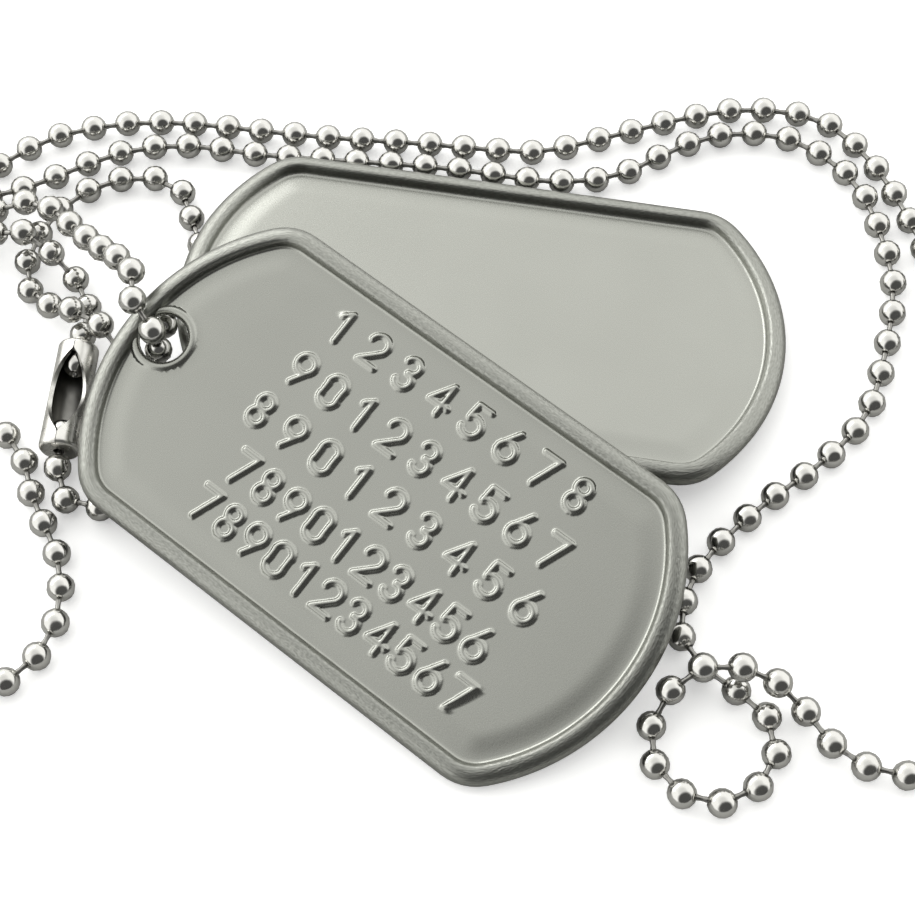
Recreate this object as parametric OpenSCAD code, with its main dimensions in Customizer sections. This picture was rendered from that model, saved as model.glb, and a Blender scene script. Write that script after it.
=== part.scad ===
// Identification dog tags: two pressed steel tags with rolled rims, hanging on one ball chain
// that a folded sleeve closes. The whole lies loose on a flat surface, +Z up. The front tag leans
// on the second one, and the chain passes through the holes of both.

/* [Tag] */
// Length of a tag over its rolled rim
tag_len = 51; // [46:0.5:56]
// Width of a tag over its rolled rim
tag_wid = 28; // [26:0.5:31]
// Radius of a tag's round end, at the outer edge
end_rad = 18.5; // [17:0.25:21]
// Radius of the corners between a round end and the long sides, at the outer edge
corner_rad = 4.5; // [3.5:0.25:5.5]
// Thickness of the steel sheet
sheet_t = 0.45; // [0.35:0.05:0.5]

/* [Rolled rim] */
// Diameter of the roll that the sheet's edge is curled into
roll_d = 1.9; // [1.6:0.05:2]
// Wall of the roll
roll_wall = 0.4; // [0.3:0.05:0.45]
// Height of the open seam between the curled edge and the sheet's underside
seam_gap = 0.2; // [0.1:0.05:0.3]

/* [Hole] */
// Diameter of the hole that the chain passes through
hole_d = 4; // [3.6:0.1:4.4]
// From the tip of the tag's end to the hole's centre
hole_inset = 3.5; // [3.2:0.1:4]
// Thickness of the soft raised ring round the hole
lip_d = 0.6; // [0.4:0.05:0.7]
// Rise of that ring above the sheet
lip_rise = 0.12; // [0.05:0.01:0.2]

/* [Relief] */
// Height of a raised number
char_h = 3.15; // [2.4:0.05:3.4]
// Width of the strokes of a raised number
stroke_w = 0.5; // [0.35:0.05:0.6]
// Rise of the numbers above the sheet
relief_h = 0.25; // [0.1:0.05:0.4]
// Depth of the matching grooves in the sheet's underside
groove_h = 0.15; // [0.1:0.05:0.2]

/* [Chain] */
// Diameter of a ball
ball_d = 2.3; // [2.1:0.05:2.35]
// Wall of a ball
ball_wall = 0.22; // [0.18:0.01:0.25]
// Distance from one ball to the next
ball_pitch = 3.05; // [3:0.05:3.3]
// Diameter of the pin between two balls
pin_d = 0.48; // [0.4:0.02:0.52]
// Running clearance of a pin in the mouth of the next ball, all round
mouth_play = 0.15; // [0.12:0.01:0.18]

/* [Connector] */
// Wall of the sleeve that joins the chain's two ends
sleeve_wall = 0.35; // [0.25:0.05:0.4]
// Clearance between the sleeve and the end balls that it holds
sleeve_play = 0.2; // [0.15:0.05:0.25]
// Length of the leaf-shaped window in the sleeve's top
window_len = 8; // [6:0.5:8.5]
// Width of that window at its middle
window_wid = 2.6; // [1.8:0.1:2.6]

/* [Hidden] */
$fn = 48;

// Tag outline: the centres of the end arc and of the corner arcs, in the tag's own plane
roll_r = roll_d / 2;
end_x = tag_len / 2 - end_rad;
corner_y = tag_wid / 2 - corner_rad;
corner_x = end_x + sqrt(pow(end_rad - corner_rad, 2) - pow(corner_y, 2));
joint_a = atan2(corner_y, corner_x - end_x);
hole_x = -tag_len / 2 + hole_inset;
corner_thin = 0.01;

// Where each tag lies: [x, y] of its centre, then its turns about X, Y and Z.
// A positive first turn raises the long side at +Y, a positive second one the end with the hole.
front_at = [-6.5, -6];
front_turn = [14, 4.5, -40.7];
second_at = [2.6, 12.2];
second_turn = [-4, 2.5, -11.4];

// Height of a tag's centre at which its lowest rim just touches the surface
function rest_z(turn) =
    let (dip = abs(sin(turn.y)), side = abs(cos(turn.y) * sin(turn.x)))
    corner_x * dip + corner_y * side + (corner_rad - roll_r) * norm([dip, side]) + roll_r;

// Rows of numbers: [y of the row's middle as a share of the width, first and last x as shares of
// the length, how many numbers]
ROW_Y = 0;
ROW_X0 = 1;
ROW_X1 = 2;
ROW_N = 3;
rows = [
    [0.330, -0.224, 0.302, 8],
    [0.162, -0.232, 0.319, 9],
    [0.000, -0.244, 0.341, 9],
    [-0.163, -0.208, 0.301, 10],
    [-0.305, -0.220, 0.323, 11],
];

// Strokes of the numbers 0 to 9, in shares of the number's height, from its left foot.
// A line is [x0, y0, x1, y1], and an arc is [x, y, radius, from, to, 1].
digits = [
    [[0.02, 0.3, 0.02, 0.7], [0.58, 0.3, 0.58, 0.7], [0.3, 0.7, 0.3, 0, 180, 1], [0.3, 0.3, 0.3, 180, 360, 1]],
    [[0.35, 0, 0.35, 1], [0.35, 1, 0.1, 0.78]],
    [[0.3, 0.7, 0.3, -35, 170, 1], [0.55, 0.53, 0, 0], [0, 0, 0.6, 0]],
    [[0.28, 0.75, 0.25, -90, 160, 1], [0.28, 0.26, 0.26, -160, 90, 1]],
    [[0.45, 0, 0.45, 1], [0.45, 1, 0, 0.3], [0, 0.3, 0.65, 0.3]],
    [[0.1, 1, 0.55, 1], [0.1, 1, 0.06, 0.54], [0.28, 0.31, 0.31, -155, 135, 1]],
    [[0.3, 0.3, 0.3, 0, 360, 1], [0.04, 0.42, 0.4, 1]],
    [[0, 1, 0.6, 1], [0.6, 1, 0.2, 0]],
    [[0.3, 0.76, 0.24, 0, 360, 1], [0.3, 0.26, 0.26, 0, 360, 1]],
    [[0.3, 0.7, 0.3, 0, 360, 1], [0.56, 0.58, 0.2, 0]],
];

// Chain sizes that follow the ball: the pin's head is wider than the mouth by head_lap, and lies
// head_back before the next ball's centre
ball_r = ball_d / 2;
cavity_r = ball_r - ball_wall;
mouth_r = pin_d / 2 + mouth_play;
head_lap = 0.1;
head_r = mouth_r + head_lap;
head_back = 0.28;
sleeve_in_r = ball_r + sleeve_play;
sleeve_r = sleeve_in_r + sleeve_wall;
notch_play = 0.22;
notch_r = pin_d / 2 + notch_play;

// The chain's route, from one end in the connector round to the other.
// Where it lies on the surface its height is the ball's radius.
route = [
    // out of the connector, over the strand beside it and round to the left
    [-31.4, 9.8, 1.7], [-31.0, 13.0, 1.4], [-30.8, 16.0, 1.1], [-32.0, 18.7, 1.4], [-34.2, 20.8, 2.9],
    [-36.4, 22.3, 3.6], [-38.9, 23.0, 2.6], [-41.4, 21.9, 1.4], [-43.3, 18.6, 1.1], [-44.0, 14.5, 1.1],
    [-42.6, 10.0, 1.1], [-39.8, 6.4, 1.1],
    // down the left side
    [-36.9, 3.6, 1.1], [-35.1, 0.6, 1.1], [-34.3, -3.0, 1.1], [-32.5, -6.5, 1.1], [-31.7, -10.5, 1.1],
    [-32.4, -14.8, 1.1], [-35.3, -18.1, 1.1],
    // the wide bow on the left
    [-41.0, -20.0, 1.1], [-47.0, -18.0, 1.1], [-52.0, -13.0, 1.1], [-55.5, -6.0, 1.1],
    [-57.5, 2.0, 1.1], [-58.0, 10.0, 1.1], [-57.2, 18.0, 1.1], [-54.5, 25.0, 1.1], [-49.0, 29.8, 1.1],
    [-43.5, 30.4, 1.1],
    // along the back, the far strand
    [-39.3, 31.5, 1.1], [-35.0, 34.2, 1.1], [-28.4, 35.4, 1.1], [-22.3, 35.0, 1.1], [-16.1, 33.8, 1.1],
    [-9.0, 32.5, 1.1], [-2.0, 31.5, 1.1], [4.3, 30.4, 1.1], [8.9, 29.9, 1.1], [15.2, 31.2, 1.1],
    [21.4, 32.7, 1.1], [27.6, 33.4, 1.1], [33.8, 31.8, 1.1], [37.4, 27.4, 1.1], [39.6, 22.0, 1.1],
    // the bow on the right
    [41.3, 15.0, 1.1], [42.8, 6.0, 1.1], [43.2, -3.0, 1.1], [42.8, -12.0, 1.1], [41.0, -20.5, 1.1],
    [37.3, -27.0, 1.1], [32.3, -29.4, 1.1],
    // the small loop, which crosses over itself
    [27.8, -27.7, 1.1], [25.4, -24.3, 1.3], [22.8, -21.9, 2.8], [19.9, -21.1, 3.8], [17.2, -21.2, 3.8],
    [14.8, -22.6, 2.4], [13.2, -25.8, 1.1], [14.6, -29.4, 1.1], [18.4, -30.8, 1.1], [22.0, -28.7, 1.1],
    [22.6, -25.0, 1.1], [20.2, -22.0, 1.1], [17.4, -19.4, 1.1], [16.5, -16.2, 1.1],
    // up the right side
    [18.6, -11.4, 1.1], [23.7, -6.7, 1.1], [29.6, -2.6, 1.1], [33.6, 1.5, 1.1], [36.0, 7.4, 1.1],
    [37.6, 13.6, 1.1], [37.3, 19.5, 1.1], [35.8, 25.0, 1.1],
    // along the back, the near strand
    [31.5, 29.5, 1.1], [26.2, 30.8, 1.1], [21.3, 29.7, 1.1], [15.5, 26.9, 1.1], [9.6, 26.5, 1.1],
    [3.5, 27.9, 1.1], [-2.0, 29.0, 1.1], [-9.0, 30.0, 1.1], [-16.0, 31.1, 1.1], [-22.3, 32.5, 1.1],
    [-27.4, 32.4, 1.1], [-32.0, 30.9, 1.1], [-36.5, 28.9, 1.1],
    // the bow inside the wide one
    [-41.6, 27.7, 1.1], [-46.5, 27.0, 1.1], [-50.5, 25.0, 1.1], [-51.8, 21.6, 1.1], [-49.0, 19.4, 1.1],
    [-45.3, 21.7, 1.1], [-41.3, 25.0, 1.3],
    // up to the front tag's hole
    [-37.4, 26.1, 2.6], [-34.1, 24.5, 3.8], [-31.6, 21.6, 4.8], [-29.4, 18.6, 6.4], [-27.0, 15.6, 8.6],
    [-25.3, 12.7, 10.0], [-25.2, 9.7, 9.85], [-23.7, 8.2, 8.1],
    // between the tags, over the second tag's rim and down through its hole
    [-23.9, 8.7, 4.9], [-23.3, 11.2, 5.6], [-21.2, 13.4, 6.2], [-19.7, 15.9, 5.3], [-19.0, 17.1, 2.8],
    [-20.2, 19.3, 1.2],
    // out beneath the second tag, and back under the front one to the connector
    [-22.0, 23.4, 1.1], [-22.4, 26.6, 1.1], [-25.2, 29.0, 1.1], [-29.0, 29.1, 1.1], [-32.5, 27.4, 1.1],
    [-34.9, 24.6, 1.1], [-36.2, 21.3, 1.1], [-36.0, 18.2, 1.1], [-34.3, 16.0, 1.7], [-31.9, 14.3, 3.3],
    [-29.6, 12.9, 3.5], [-27.6, 10.4, 2.2], [-26.2, 6.8, 1.1], [-26.0, 2.6, 1.1], [-26.9, -1.5, 1.1],
    [-29.2, -3.6, 1.1], [-31.9, -2.5, 1.1], [-32.5, 0.3, 1.4], [-32.2, 3.2, 1.7],
];
STEPS = 12;

// Smooth curve through the route's points, never lower than a ball lies
function end_point(i) =
    i < 0 ? 2 * route[0] - route[1] :
    i >= len(route) ? 2 * route[len(route) - 1] - route[len(route) - 2] : route[i];
function smooth(a, b, c, d, t) =
    (2 * b + (c - a) * t + (2 * a - 5 * b + 4 * c - d) * t * t + (3 * b - 3 * c + d - a) * t * t * t) / 2;
function on_surface(p) = [p.x, p.y, max(p.z, ball_r)];
curve = [
    for (i = [0 : len(route) - 2], k = [0 : STEPS - 1])
        on_surface(smooth(end_point(i - 1), route[i], route[i + 1], end_point(i + 2), k / STEPS)),
    on_surface(route[len(route) - 1]),
];

// Length along the curve up to each of its points, as a running sum
run = [
    for (
        i = 0, s = 0;
        i < len(curve);
        s = s + (i + 1 < len(curve) ? norm(curve[i + 1] - curve[i]) : 0),
        i = i + 1
    ) s
];
curve_len = run[len(run) - 1];
ball_count = round(curve_len / ball_pitch) + 1;

// The balls' centres, one after the other at even steps along the curve
function step_to(s, i) = i + 2 < len(run) && run[i + 1] < s ? step_to(s, i + 1) : i;
function place(s, i) =
    let (part = (s - run[i]) / (run[i + 1] - run[i])) curve[i] + (curve[i + 1] - curve[i]) * min(1, part);
balls = [
    for (b = 0, i = 0; b < ball_count; b = b + 1, i = step_to(curve_len * b / (ball_count - 1), i))
        place(curve_len * b / (ball_count - 1), i)
];

// The first ball of the chain's second half
half_way = floor(len(balls) / 2);

// The part's origin is the middle of the footprint, which the chain's bows span
ball_xs = [for (b = balls) b.x];
ball_ys = [for (b = balls) b.y];
middle = [(min(ball_xs) + max(ball_xs)) / 2, (min(ball_ys) + max(ball_ys)) / 2, 0];

// Turns +Z to the direction of v
module aim(v) {
    rotate([0, acos(v.z / norm(v)), atan2(v.y, v.x)]) children();
}

// The flat sheet's outline: its edge lies inside the wall of the roll all the way round
module sheet_outline() {
    inset = roll_d - roll_wall / 4;
    intersection() {
        union() for (side = [1, -1]) translate([side * end_x, 0]) circle(r = end_rad - inset);
        square([tag_len, tag_wid - 2 * inset], center = true);
    }
}

// Cross-section of the rolled rim at the distance at from the turning axis, outwards along +X
module roll_profile(at, r = roll_r) {
    translate([at, 0]) difference() {
        circle(r = r);
        circle(r = r - roll_wall);
        translate([-2 * roll_r, -sheet_t / 2 - seam_gap]) square([2 * roll_r, seam_gap]);
    }
}

// A corner of the rim, where the roll is a hair thinner than along the sides and ends
module rim_corner(from) {
    rotate([0, 0, from]) rotate_extrude(angle = 90 - joint_a)
        roll_profile(corner_rad - roll_r, roll_r - corner_thin);
}

// The rolled rim: two straight sides, four corners and two round ends
module rolled_rim() {
    for (side = [0, 180]) rotate([0, 0, side]) {
        translate([-corner_x, tag_wid / 2 - roll_r, 0])
            rotate([90, 0, 90]) linear_extrude(2 * corner_x) roll_profile(0);
        translate([end_x, 0, 0]) rotate([0, 0, -joint_a])
            rotate_extrude(angle = 2 * joint_a) roll_profile(end_rad - roll_r);
        translate([corner_x, corner_y, 0]) rim_corner(joint_a);
        translate([corner_x, -corner_y, 0]) rim_corner(-90);
    }
}

// One stroke of a number whose height is 1
module stroke(s, wide) {
    if (len(s) == 6) {
        translate([s[0], s[1]]) intersection() {
            difference() {
                circle(r = s[2] + wide / 2);
                circle(r = s[2] - wide / 2);
            }
            if (s[4] - s[3] < 360) polygon([
                [0, 0],
                for (k = [0 : 4]) let (a = s[3] + (s[4] - s[3]) * k / 4) [2 * cos(a), 2 * sin(a)],
            ]);
        }
    } else {
        run_x = s[2] - s[0];
        run_y = s[3] - s[1];
        translate([s[0], s[1]]) rotate(atan2(run_y, run_x)) translate([-wide / 2, -wide / 2])
            square([norm([run_x, run_y]) + wide, wide]);
    }
}

// How many numbers stand in the rows above row r
function numbers_before(r) = r == 0 ? 0 : rows[r - 1][ROW_N] + numbers_before(r - 1);

// All the rows of numbers, counting on from row to row
module numbers() {
    tall = char_h - stroke_w;
    for (r = [0 : len(rows) - 1]) {
        before = numbers_before(r);
        x0 = rows[r][ROW_X0] * tag_len;
        step = (rows[r][ROW_X1] * tag_len - x0) / rows[r][ROW_N];
        for (k = [0 : rows[r][ROW_N] - 1])
            translate([x0 + step * k, rows[r][ROW_Y] * tag_wid - tall / 2])
                scale(tall) for (s = digits[(before + k + 1) % 10]) stroke(s, stroke_w / tall);
    }
}
// A tag with its rim, hole and lip, in its own plane
module plain_tag() {
    difference() {
        union() {
            translate([0, 0, -sheet_t / 2]) linear_extrude(sheet_t) sheet_outline();
            rolled_rim();
            translate([hole_x, 0, sheet_t / 2 + lip_rise - lip_d / 2])
                rotate_extrude() translate([hole_d / 2 + lip_d / 4, 0]) circle(r = lip_d / 2);
        }
        translate([hole_x, 0, -sheet_t]) cylinder(h = 2 * sheet_t + 2 * lip_rise, d = hole_d);
    }
}

// Lays a tag down with its lowest rim on the surface
module laid(at, turn) {
    translate([at.x, at.y, rest_z(turn)] - middle) rotate(turn) children();
}

// The tag on top, with its rows of raised numbers
module front_tag() {
    color([0.66, 0.67, 0.64]) laid(front_at, front_turn) difference() {
        union() {
            plain_tag();
            linear_extrude(sheet_t / 2 + relief_h) numbers();
        }
        translate([0, 0, -sheet_t]) linear_extrude(sheet_t / 2 + groove_h) numbers();
    }
}

// The tag below, with a bare face
module second_tag() {
    color([0.74, 0.75, 0.72]) laid(second_at, second_turn) plain_tag();
}

// Sphere whose poles and seam lie across +Z, clear of a mouth and a pin that lie along it
module cross_sphere(r) {
    rotate([0, 90, 0]) rotate([0, 0, 90]) sphere(r = r);
}

// One hollow ball, with a mouth towards the ball before it and a headed pin into the next one
module ball(i) {
    last = len(balls) - 1;
    ahead = i < last ? balls[i + 1] - balls[i] : balls[i] - balls[i - 1];
    reach = norm(ahead) - head_back;
    translate(balls[i] - middle) difference() {
        aim(ahead) {
            cross_sphere(ball_r);
            if (i < last) {
                translate([0, 0, cavity_r]) cylinder(h = reach - cavity_r, d = pin_d);
                translate([0, 0, reach]) sphere(r = head_r);
            }
        }
        aim(ahead) cross_sphere(cavity_r);
        if (i > 0) aim(balls[i - 1] - balls[i])
            translate([0, 0, cavity_r / 2]) cylinder(h = ball_r, r = mouth_r);
    }
}

// The chain's first half, along the left side and the back
module chain_far() {
    color([0.78, 0.78, 0.77]) for (i = [0 : half_way - 1]) ball(i);
}

// The rest of the chain, which meets the first half on the right and passes through both tags
module chain_near() {
    color([0.78, 0.78, 0.77]) for (i = [half_way : len(balls) - 1]) ball(i);
}

// The sleeve over the chain's two end balls, with a leaf-shaped window on top
module chain_connector() {
    from = route[0];
    to = route[len(route) - 1];
    span = norm(to - from);
    half_in = span / 2 + sleeve_in_r;
    half = half_in + sleeve_wall;
    leaf_r = (pow(window_len, 2) + pow(window_wid, 2)) / (4 * window_wid);
    along = atan2(to.y - from.y, to.x - from.x);
    color([0.5, 0.5, 0.49]) translate((from + to) / 2 - middle) rotate([0, 0, along]) difference() {
        rotate([0, 90, 0]) cylinder(h = 2 * half, r = sleeve_r, center = true);
        rotate([0, 90, 0]) cylinder(h = 2 * half_in, r = sleeve_in_r, center = true);
        rotate([0, 90, 0]) cylinder(h = 2 * half + 1, r = notch_r, center = true);
        linear_extrude(sleeve_r + 1) intersection() {
            translate([0, leaf_r - window_wid / 2]) circle(r = leaf_r);
            translate([0, window_wid / 2 - leaf_r]) circle(r = leaf_r);
        }
    }
}

front_tag();
second_tag();
chain_near();
chain_far();
chain_connector();
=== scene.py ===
# %% [markdown]
# Two pressed steel identification tags lie on a light surface, on one ball chain that a folded
# sleeve closes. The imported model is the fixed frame: it says where each piece is and how big it is.
# Here each piece gets its final surface and finish. First the frame is loaded, and its box is kept
# so that the finished pieces can be held against it.

# %% Load the frame
import math

import bmesh
import bpy
import numpy as np
from mathutils import Matrix, Vector


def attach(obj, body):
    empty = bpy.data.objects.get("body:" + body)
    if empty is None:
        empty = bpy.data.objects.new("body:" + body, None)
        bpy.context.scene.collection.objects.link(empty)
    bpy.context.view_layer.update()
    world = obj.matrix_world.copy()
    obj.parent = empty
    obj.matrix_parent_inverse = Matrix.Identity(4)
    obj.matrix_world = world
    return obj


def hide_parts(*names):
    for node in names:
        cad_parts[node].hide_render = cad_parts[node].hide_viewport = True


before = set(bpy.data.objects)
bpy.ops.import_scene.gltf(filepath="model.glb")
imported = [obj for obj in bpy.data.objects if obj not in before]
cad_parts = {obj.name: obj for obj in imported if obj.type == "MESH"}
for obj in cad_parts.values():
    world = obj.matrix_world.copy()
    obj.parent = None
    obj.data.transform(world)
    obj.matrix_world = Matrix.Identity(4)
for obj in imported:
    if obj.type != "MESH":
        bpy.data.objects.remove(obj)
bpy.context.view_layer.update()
print("nodes:", sorted(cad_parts))

# %% [markdown]
# The part is drawn in millimetres, because every size on it was read in millimetres, and becomes
# metres when a mesh is made. These are the sizes of the pressed tag and of its ball chain.

# %% Real sizes in millimetres
MM = 0.001
TAG_LEN = 51.0
TAG_WID = 28.0
END_RAD = 18.5
CORNER_RAD = 4.5
SHEET_T = 0.45
ROLL_R = 0.95
ROLL_WALL = 0.4
SEAM_GAP = 0.2
HOLE_R = 2.0
HOLE_X = -22.0
CHAR_H = 3.15
STROKE_W = 0.5
RELIEF_H = 0.25
GROOVE_H = 0.15
BALL_R = 1.15
BALL_PITCH = 3.05
PIN_R = 0.24
MOUTH_R = 0.39
SLEEVE_IN_R = 1.35
SLEEVE_R = 1.7
NOTCH_R = 0.46
WINDOW_LEN = 8.0
WINDOW_WID = 2.6

# %% [markdown]
# The chain comes first, because the middle of its footprint is the origin of the whole part. Its
# route is a short list of given points, and a smooth curve runs through them. A ball
# lies on the surface, so the curve never comes lower than a ball's radius.

# %% The chain's route in millimetres
ROUTE = np.array([
    [-31.4, 9.8, 1.7], [-31.0, 13.0, 1.4], [-30.8, 16.0, 1.1], [-32.0, 18.7, 1.4], [-34.2, 20.8, 2.9],
    [-36.4, 22.3, 3.6], [-38.9, 23.0, 2.6], [-41.4, 21.9, 1.4], [-43.3, 18.6, 1.1], [-44.0, 14.5, 1.1],
    [-42.6, 10.0, 1.1], [-39.8, 6.4, 1.1],
    [-36.9, 3.6, 1.1], [-35.1, 0.6, 1.1], [-34.3, -3.0, 1.1], [-32.5, -6.5, 1.1], [-31.7, -10.5, 1.1],
    [-32.4, -14.8, 1.1], [-35.3, -18.1, 1.1],
    [-41.0, -20.0, 1.1], [-47.0, -18.0, 1.1], [-52.0, -13.0, 1.1], [-55.5, -6.0, 1.1],
    [-57.5, 2.0, 1.1], [-58.0, 10.0, 1.1], [-57.2, 18.0, 1.1], [-54.5, 25.0, 1.1], [-49.0, 29.8, 1.1],
    [-43.5, 30.4, 1.1],
    [-39.3, 31.5, 1.1], [-35.0, 34.2, 1.1], [-28.4, 35.4, 1.1], [-22.3, 35.0, 1.1], [-16.1, 33.8, 1.1],
    [-9.0, 32.5, 1.1], [-2.0, 31.5, 1.1], [4.3, 30.4, 1.1], [8.9, 29.9, 1.1], [15.2, 31.2, 1.1],
    [21.4, 32.7, 1.1], [27.6, 33.4, 1.1], [33.8, 31.8, 1.1], [37.4, 27.4, 1.1], [39.6, 22.0, 1.1],
    [41.3, 15.0, 1.1], [42.8, 6.0, 1.1], [43.2, -3.0, 1.1], [42.8, -12.0, 1.1], [41.0, -20.5, 1.1],
    [37.3, -27.0, 1.1], [32.3, -29.4, 1.1],
    [27.8, -27.7, 1.1], [25.4, -24.3, 1.3], [22.8, -21.9, 2.8], [19.9, -21.1, 3.8], [17.2, -21.2, 3.8],
    [14.8, -22.6, 2.4], [13.2, -25.8, 1.1], [14.6, -29.4, 1.1], [18.4, -30.8, 1.1], [22.0, -28.7, 1.1],
    [22.6, -25.0, 1.1], [20.2, -22.0, 1.1], [17.4, -19.4, 1.1], [16.5, -16.2, 1.1],
    [18.6, -11.4, 1.1], [23.7, -6.7, 1.1], [29.6, -2.6, 1.1], [33.6, 1.5, 1.1], [36.0, 7.4, 1.1],
    [37.6, 13.6, 1.1], [37.3, 19.5, 1.1], [35.8, 25.0, 1.1],
    [31.5, 29.5, 1.1], [26.2, 30.8, 1.1], [21.3, 29.7, 1.1], [15.5, 26.9, 1.1], [9.6, 26.5, 1.1],
    [3.5, 27.9, 1.1], [-2.0, 29.0, 1.1], [-9.0, 30.0, 1.1], [-16.0, 31.1, 1.1], [-22.3, 32.5, 1.1],
    [-27.4, 32.4, 1.1], [-32.0, 30.9, 1.1], [-36.5, 28.9, 1.1],
    [-41.6, 27.7, 1.1], [-46.5, 27.0, 1.1], [-50.5, 25.0, 1.1], [-51.8, 21.6, 1.1], [-49.0, 19.4, 1.1],
    [-45.3, 21.7, 1.1], [-41.3, 25.0, 1.3],
    [-37.4, 26.1, 2.6], [-34.1, 24.5, 3.8], [-31.6, 21.6, 4.8], [-29.4, 18.6, 6.4], [-27.0, 15.6, 8.6],
    [-25.3, 12.7, 10.0], [-25.2, 9.7, 9.85], [-23.7, 8.2, 8.1],
    [-23.9, 8.7, 4.9], [-23.3, 11.2, 5.6], [-21.2, 13.4, 6.2], [-19.7, 15.9, 5.3], [-19.0, 17.1, 2.8],
    [-20.2, 19.3, 1.2],
    [-22.0, 23.4, 1.1], [-22.4, 26.6, 1.1], [-25.2, 29.0, 1.1], [-29.0, 29.1, 1.1], [-32.5, 27.4, 1.1],
    [-34.9, 24.6, 1.1], [-36.2, 21.3, 1.1], [-36.0, 18.2, 1.1], [-34.3, 16.0, 1.7], [-31.9, 14.3, 3.3],
    [-29.6, 12.9, 3.5], [-27.6, 10.4, 2.2], [-26.2, 6.8, 1.1], [-26.0, 2.6, 1.1], [-26.9, -1.5, 1.1],
    [-29.2, -3.6, 1.1], [-31.9, -2.5, 1.1], [-32.5, 0.3, 1.4], [-32.2, 3.2, 1.7],
])
STEPS = 12


def smooth_curve(points, steps):
    """Catmull-Rom curve: between two points a cubic leaves along the line from the point before
    to the point after, so that it passes through all of them. Each span gets the same steps."""
    ends = [2 * points[:1] - points[1:2], points, 2 * points[-1:] - points[-2:-1]]
    a, b, c, d = (np.concatenate(ends)[k:k + len(points) - 1, None] for k in range(4))
    t = (np.arange(steps) / steps)[None, :, None]
    cubic = (2 * b + (c - a) * t + (2 * a - 5 * b + 4 * c - d) * t**2
             + (3 * b - 3 * c + d - a) * t**3) / 2
    curve = np.concatenate([cubic.reshape(-1, 3), points[-1:]])
    curve[:, 2] = np.maximum(curve[:, 2], BALL_R)
    return curve


def run_along(points):
    """How far each point lies from the first one, measured along the points between."""
    return np.concatenate([[0], np.cumsum(np.linalg.norm(np.diff(points, axis=0), axis=1))])


def even_places(curve, pitch):
    """Points at even steps of arc length, as near to the pitch as a whole number of steps gives."""
    run = run_along(curve)
    count = int(round(run[-1] / pitch)) + 1
    at = np.linspace(0, run[-1], count)
    return np.stack([np.interp(at, run, curve[:, k]) for k in range(3)], axis=1), run[-1]


balls, chain_len = even_places(smooth_curve(ROUTE, STEPS), BALL_PITCH)
MIDDLE = np.append((balls[:, :2].min(0) + balls[:, :2].max(0)) / 2, 0)
balls = balls - MIDDLE
print(f"chain: {chain_len:.1f} mm, {len(balls)} balls, middle {MIDDLE.round(4)}")

# %% [markdown]
# The camera stands where the photograph was taken from. Its place was solved from the outlines of
# both tags: it looks down at 61 degrees from about 16 cm away, with a long lens and a slight roll.

# %% Camera
FOCAL_PX = 1940.0
FRAME_PX = 915
SENSOR_MM = 36.0
CAMERA_DIST = 158.741
CAMERA_EL = math.radians(61.126)
CAMERA_ROLL = math.radians(-2.924)


def aim_camera():
    """Camera axes: forward looks along +Y and down, right is +X, and both turn by the roll."""
    forward = np.array([0, math.cos(CAMERA_EL), -math.sin(CAMERA_EL)])
    right = np.array([1.0, 0, 0])
    down = np.cross(forward, right)
    turned_right = math.cos(CAMERA_ROLL) * right - math.sin(CAMERA_ROLL) * down
    turned_down = math.sin(CAMERA_ROLL) * right + math.cos(CAMERA_ROLL) * down
    place = Matrix.Identity(4)
    for column, axis in enumerate([turned_right, -turned_down, -forward]):
        place.col[column][:3] = axis
    place.col[3][:3] = (-MIDDLE - forward * CAMERA_DIST) * MM
    lens = bpy.data.cameras.new("camera")
    lens.sensor_width = SENSOR_MM
    lens.lens = FOCAL_PX / FRAME_PX * SENSOR_MM
    lens.clip_start = 0.01
    eye = bpy.data.objects.new("camera", lens)
    eye.matrix_world = place
    bpy.context.scene.collection.objects.link(eye)
    bpy.context.scene.camera = eye
    return eye


eye = aim_camera()
print("camera at", [round(v * 1000, 1) for v in eye.matrix_world.translation], "mm")

# %% [markdown]
# Every piece below is an array of points and an array of faces. Three helpers make that short: one
# turns arrays into a smooth-shaded mesh, one gives the faces of a grid of points, and one eases
# from 0 to 1.

# %% Mesh helpers
NO_TRIANGLES = np.zeros((0, 3), int)


def make_piece(name, points, quads, triangles, materials, kinds=None):
    """A mesh object in millimetres from arrays of points, four-sided and three-sided faces."""
    corners = np.concatenate([quads.ravel(), triangles.ravel()]).astype(np.int32)
    sizes = np.repeat([4, 3], [len(quads), len(triangles)])
    mesh = bpy.data.meshes.new(name)
    mesh.vertices.add(len(points))
    mesh.vertices.foreach_set("co", points.astype(np.float32).ravel())
    mesh.loops.add(len(corners))
    mesh.loops.foreach_set("vertex_index", corners)
    mesh.polygons.add(len(sizes))
    mesh.polygons.foreach_set("loop_start", (np.cumsum(sizes) - sizes).astype(np.int32))
    mesh.polygons.foreach_set("use_smooth", np.ones(len(sizes), bool))
    for material in materials:
        mesh.materials.append(material)
    if kinds is not None:
        mesh.polygons.foreach_set("material_index", kinds.astype(np.int32))
    mesh.update(calc_edges=True)
    mesh.validate()
    piece = bpy.data.objects.new(name, mesh)
    bpy.context.scene.collection.objects.link(piece)
    return piece


def grid_quads(numbers, wrap=False):
    """Faces between neighbours in a 2D array of point numbers. With wrap, the last column meets the
    first. They face up when rows run along +Y and columns along +X."""
    if wrap:
        numbers = np.concatenate([numbers, numbers[:, :1]], axis=1)
    a, b, c, d = numbers[:-1, :-1], numbers[:-1, 1:], numbers[1:, 1:], numbers[1:, :-1]
    return np.stack([a, b, c, d], axis=-1).reshape(-1, 4)


def ease(low, high, value):
    """Smooth step from 0 at low to 1 at high, level at both."""
    t = np.clip((value - low) / (high - low), 0, 1)
    return t * t * (3 - 2 * t)


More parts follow.
